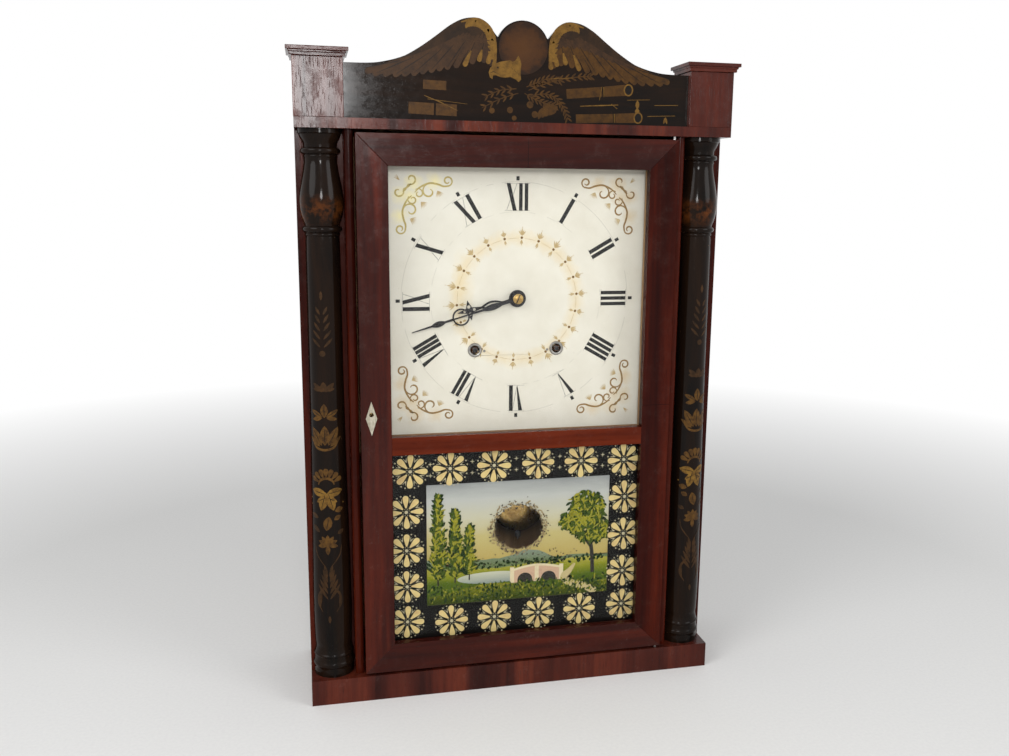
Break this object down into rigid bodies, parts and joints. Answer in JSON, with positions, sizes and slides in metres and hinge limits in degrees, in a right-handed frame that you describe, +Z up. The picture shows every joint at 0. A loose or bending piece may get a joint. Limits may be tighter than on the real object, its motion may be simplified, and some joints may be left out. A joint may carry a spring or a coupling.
{
  "type": "shelf clock",
  "caption": "Half-column shelf clock with scrolled crest, hinged door with dial glass and painted tablet, and a weight-driven wooden striking movement.",
  "frame": {"origin": "middle of the whole clock's box, on the surface it stands on", "axes": "+Z up, -Y out of the dial towards the viewer, +X to the viewer's right"},
  "size_m": [0.4428, 0.1322, 0.6835],
  "materials": {
    "mahogany": "french polished mahogany veneer",
    "lacquer": "black-brown lacquer with bronze stencilling",
    "pine": "raw pine, darkened",
    "cherry": "oiled cherry",
    "dial_paint": "old cream paint on wood",
    "clear_glass": "old clear glass",
    "painted_glass": "glass painted on the back",
    "bone": "inlaid bone",
    "brass": "aged brass",
    "steel": "drawn steel wire and sheet",
    "blued_steel": "blackened steel",
    "iron": "rough cast iron",
    "cord": "twisted hemp cord"
  },
  "bodies": {
    "case": {"base_rail": "mahogany", "base_boards": "pine", "side_boards": "mahogany", "back_board": "pine", "top_board": "mahogany", "column_boards": "mahogany", "bead_strips": "mahogany", "columns": "lacquer", "chimneys": "mahogany", "chimney_caps": "mahogany", "crest": "lacquer", "inner_cleats": "pine", "dial": "dial_paint", "winding_eyelets": "steel", "hinge_pins": "steel", "front_plate": "cherry", "back_plate": "cherry", "pillars_and_studs": "cherry", "suspension_cock": "iron", "bell": "brass", "cord_runs": "cord"},
    "door": {"door_left_stile": "mahogany", "door_right_stile": "mahogany", "door_top_rail": "mahogany", "door_middle_rail": "mahogany", "door_bottom_rail": "mahogany", "dial_glass": "clear_glass", "tablet_glass": "painted_glass", "escutcheon": "bone", "lock_case": "steel"},
    "bolt": {"lock_bolt": "brass"},
    "minute": {"minute_wheel": "cherry", "minute_hand": "blued_steel"},
    "hour": {"hour_wheel": "cherry", "hour_hand": "blued_steel"},
    "motion": {"motion_wheel": "cherry"},
    "cannon": {"cannon_wheel": "cherry"},
    "escape": {"escape_wheel": "cherry"},
    "third": {"third_wheel": "cherry"},
    "second": {"second_wheel": "cherry"},
    "time_great": {"time_great_wheel": "cherry"},
    "time_catch": {"time_click": "steel"},
    "time_barrel": {"time_drum": "cherry"},
    "time_mass": {"time_weight": "iron", "time_weight_cord": "cord"},
    "time_roller": {"time_pulley": "cherry"},
    "swing": {"pendulum_rod": "steel", "pendulum_bob": "brass"},
    "anchor": {"verge": "steel"},
    "fan": {"fly": "cherry"},
    "warning": {"warning_wheel": "cherry"},
    "pins": {"pin_wheel": "cherry"},
    "strike_great": {"strike_great_wheel": "cherry"},
    "strike_catch": {"strike_click": "steel"},
    "counter": {"count_wheel": "cherry"},
    "striker": {"hammer": "steel"},
    "strike_barrel": {"strike_drum": "cherry"},
    "strike_mass": {"strike_weight": "iron", "strike_weight_cord": "cord"},
    "strike_roller": {"strike_pulley": "cherry"}
  },
  "joints": [
    {"name": "door_hinge", "type": "hinge", "parent": "case", "child": "door", "pos_m": [0.1568, -0.0571, 0.3029], "axis": [0, 0, 1], "range_deg": [0, 115]},
    {"name": "bolt_slide", "type": "slide", "parent": "door", "child": "bolt", "axis": [-1, 0, 0], "range_m": [0, 0.005]},
    {"name": "minute_turn", "type": "hinge", "parent": "case", "child": "minute", "pos_m": [0, -0.0209, 0.4158], "axis": [0, 1, 0], "continuous": true},
    {"name": "hour_turn", "type": "hinge", "parent": "case", "child": "hour", "pos_m": [0, -0.0209, 0.4158], "axis": [0, 1, 0], "continuous": true},
    {"name": "motion_turn", "type": "hinge", "parent": "case", "child": "motion", "pos_m": [0.02204, -0.0009, 0.39727], "axis": [0, 1, 0], "continuous": true},
    {"name": "cannon_turn", "type": "hinge", "parent": "case", "child": "cannon", "pos_m": [0.04769, -0.0009, 0.41037], "axis": [0, 1, 0], "continuous": true},
    {"name": "escape_turn", "type": "hinge", "parent": "case", "child": "escape", "pos_m": [0.009, 0.0341, 0.445], "axis": [0, 1, 0], "continuous": true},
    {"name": "third_turn", "type": "hinge", "parent": "case", "child": "third", "pos_m": [0.04336, 0.0261, 0.44946], "axis": [0, 1, 0], "continuous": true},
    {"name": "second_turn", "type": "hinge", "parent": "case", "child": "second", "pos_m": [0.04769, 0.0291, 0.41037], "axis": [0, 1, 0], "continuous": true},
    {"name": "time_great_turn", "type": "hinge", "parent": "case", "child": "time_great", "pos_m": [0.043, 0.0141, 0.363], "axis": [0, 1, 0], "continuous": true},
    {"name": "time_click_lift", "type": "hinge", "parent": "time_great", "child": "time_catch", "pos_m": [0.057, 0.0171, 0.385], "axis": [0, 1, 0], "range_deg": [0, 12], "stiffness_Nm_per_rad": 0.002, "springref_deg": -17.19},
    {"name": "time_weight_fall", "type": "slide", "parent": "case", "child": "time_mass", "axis": [0, 0, -1], "range_m": [0, 0.395], "deforming": ["time_weight_cord"]},
    {"name": "time_drum_turn", "type": "hinge", "parent": "case", "child": "time_barrel", "pos_m": [0.043, 0.0271, 0.363], "axis": [0, 1, 0], "range_deg": [-1750, 0]},
    {"name": "time_pulley_turn", "type": "hinge", "parent": "case", "child": "time_roller", "pos_m": [0.15, 0.027, 0.58365], "axis": [0, 1, 0], "range_deg": [0, 1550]},
    {"name": "pendulum_swing", "type": "hinge", "parent": "case", "child": "swing", "pos_m": [0.009, -0.0139, 0.474], "axis": [0, 1, 0], "range_deg": [-3, 3]},
    {"name": "verge_rock", "type": "hinge", "parent": "case", "child": "anchor", "pos_m": [0.009, 0.0291, 0.474], "axis": [0, 1, 0], "range_deg": [-3.2, 3.2]},
    {"name": "fly_turn", "type": "hinge", "parent": "case", "child": "fan", "pos_m": [-0.03234, 0.0341, 0.47794], "axis": [0, 1, 0], "continuous": true},
    {"name": "warning_turn", "type": "hinge", "parent": "case", "child": "warning", "pos_m": [-0.04966, 0.0261, 0.44794], "axis": [0, 1, 0], "continuous": true},
    {"name": "pin_wheel_turn", "type": "hinge", "parent": "case", "child": "pins", "pos_m": [-0.04769, 0.0291, 0.41037], "axis": [0, 1, 0], "continuous": true},
    {"name": "strike_great_turn", "type": "hinge", "parent": "case", "child": "strike_great", "pos_m": [-0.043, 0.0141, 0.363], "axis": [0, 1, 0], "continuous": true},
    {"name": "count_wheel_turn", "type": "hinge", "parent": "case", "child": "counter", "pos_m": [-0.02085, -0.0009, 0.31081], "axis": [0, 1, 0], "continuous": true},
    {"name": "strike_click_lift", "type": "hinge", "parent": "strike_great", "child": "strike_catch", "pos_m": [-0.057, 0.0171, 0.385], "axis": [0, 1, 0], "range_deg": [-12, 0], "stiffness_Nm_per_rad": 0.002, "springref_deg": 17.19},
    {"name": "hammer_stroke", "type": "hinge", "parent": "case", "child": "striker", "pos_m": [-0.00588, 0.0291, 0.39515], "axis": [0, 1, 0], "range_deg": [-0.7, 8]},
    {"name": "strike_weight_fall", "type": "slide", "parent": "case", "child": "strike_mass", "axis": [0, 0, -1], "range_m": [0, 0.395], "deforming": ["strike_weight_cord"]},
    {"name": "strike_drum_turn", "type": "hinge", "parent": "case", "child": "strike_barrel", "pos_m": [-0.043, 0.0271, 0.363], "axis": [0, 1, 0], "range_deg": [0, 1750]},
    {"name": "strike_pulley_turn", "type": "hinge", "parent": "case", "child": "strike_roller", "pos_m": [-0.15, 0.027, 0.58365], "axis": [0, 1, 0], "range_deg": [-1550, 0]}
  ],
  "couplings": [
    {"joint": "hour_turn", "follows": "minute_turn", "ratio": 0.083333},
    {"joint": "motion_turn", "follows": "minute_turn", "ratio": -1},
    {"joint": "cannon_turn", "follows": "minute_turn", "ratio": 1},
    {"joint": "third_turn", "follows": "escape_turn", "ratio": -0.125},
    {"joint": "second_turn", "follows": "escape_turn", "ratio": 0.011905},
    {"joint": "time_great_turn", "follows": "escape_turn", "ratio": -0.0019841},
    {"joint": "time_drum_turn", "follows": "time_weight_fall", "rad_per_m": -75.758},
    {"joint": "time_pulley_turn", "follows": "time_weight_fall", "rad_per_m": 66.667},
    {"joint": "verge_rock", "follows": "pendulum_swing", "ratio": 1},
    {"joint": "warning_turn", "follows": "fly_turn", "ratio": -0.125},
    {"joint": "pin_wheel_turn", "follows": "fly_turn", "ratio": 0.0125},
    {"joint": "strike_great_turn", "follows": "fly_turn", "ratio": -0.0020833},
    {"joint": "count_wheel_turn", "follows": "fly_turn", "ratio": 0.0012821},
    {"joint": "strike_drum_turn", "follows": "strike_weight_fall", "rad_per_m": 75.758},
    {"joint": "strike_pulley_turn", "follows": "strike_weight_fall", "rad_per_m": -66.667}
  ]
}
